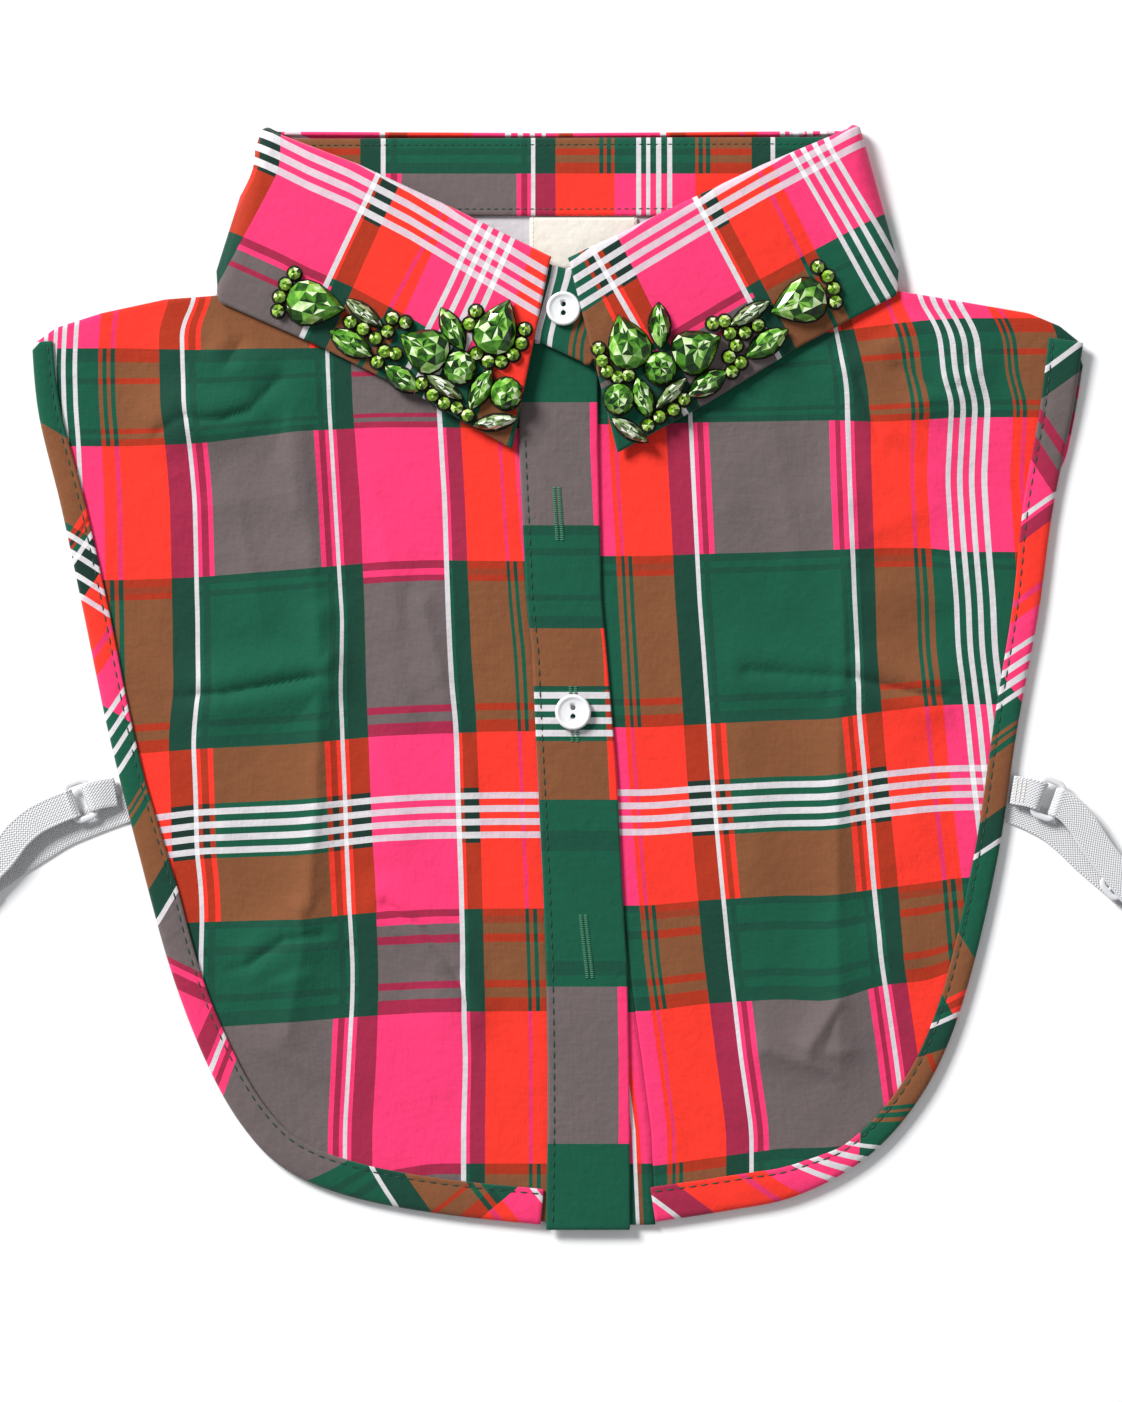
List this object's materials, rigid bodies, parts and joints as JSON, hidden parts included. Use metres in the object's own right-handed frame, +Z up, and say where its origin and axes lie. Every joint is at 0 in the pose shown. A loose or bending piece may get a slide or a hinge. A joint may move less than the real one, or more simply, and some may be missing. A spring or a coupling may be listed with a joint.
{
  "type": "dickey",
  "caption": "False shirt front and back in bright plaid cotton, with a jewelled shirt collar, a buttoned half placket, bound edges and white elastic side straps, lying flat.",
  "frame": {"origin": "the surface that the dickey lies on, under the middle of its outline to within 2 mm", "axes": "+X across the dickey, towards the right of someone who looks down on its front; +Y along its length, towards the collar; +Z up, out of its front"},
  "size_m": [0.4067, 0.3676, 0.0155],
  "materials": {
    "plaid_pink": "matt woven cotton plaid, pink ground",
    "plaid_orange": "matt woven cotton plaid, orange ground",
    "plaid_green": "matt woven cotton plaid, green ground",
    "plaid_brown": "matt woven cotton plaid, brown ground",
    "plaid_red": "matt woven cotton plaid, red ground",
    "label_tape": "plain cream woven tape",
    "white_elastic": "white woven elastic",
    "white_plastic": "glossy white",
    "green_glass": "foil-backed faceted glass"
  },
  "bodies": {
    "root": {"back_panel": "plaid_pink", "binding_back": "plaid_brown", "front_panel_left": "plaid_pink", "front_panel_right": "plaid_orange", "binding_left": "plaid_green", "binding_right": "plaid_brown", "button_placket": "plaid_green", "under_placket": "plaid_pink", "collar_stand": "plaid_red", "collar_leaf": "plaid_pink", "neck_label": "label_tape", "collar_button": "white_plastic", "front_button": "white_plastic", "stone_left_1": "green_glass", "stone_left_2": "green_glass", "stone_left_3": "green_glass", "stone_left_4": "green_glass", "stone_left_5": "green_glass", "stone_left_6": "green_glass", "stone_left_7": "green_glass", "stone_left_8": "green_glass", "stone_left_9": "green_glass", "stone_left_10": "green_glass", "stone_left_11": "green_glass", "stone_left_12": "green_glass", "stone_right_1": "green_glass", "stone_right_2": "green_glass", "stone_right_3": "green_glass", "stone_right_4": "green_glass", "stone_right_5": "green_glass", "stone_right_6": "green_glass", "stone_right_7": "green_glass", "stone_right_8": "green_glass", "stone_right_9": "green_glass", "stone_right_10": "green_glass", "stone_right_11": "green_glass", "stone_right_12": "green_glass", "stone_row_left_end": "green_glass", "stone_row_left_middle": "green_glass", "stone_row_left_lower": "green_glass", "stone_row_left_hem": "green_glass", "stone_row_left_front": "green_glass", "stone_row_left_inner": "green_glass", "stone_row_right_end": "green_glass", "stone_row_right_middle": "green_glass", "stone_row_right_lower": "green_glass", "stone_row_right_hem": "green_glass", "stone_row_right_inner": "green_glass", "strap_elastic_left": "white_elastic", "strap_tab_left": "white_elastic", "strap_ring_left": "white_plastic", "strap_slider_left": "white_plastic", "strap_elastic_right": "white_elastic", "strap_tab_right": "white_elastic", "strap_ring_right": "white_plastic", "strap_slider_right": "white_plastic"}
  },
  "joints": []
}
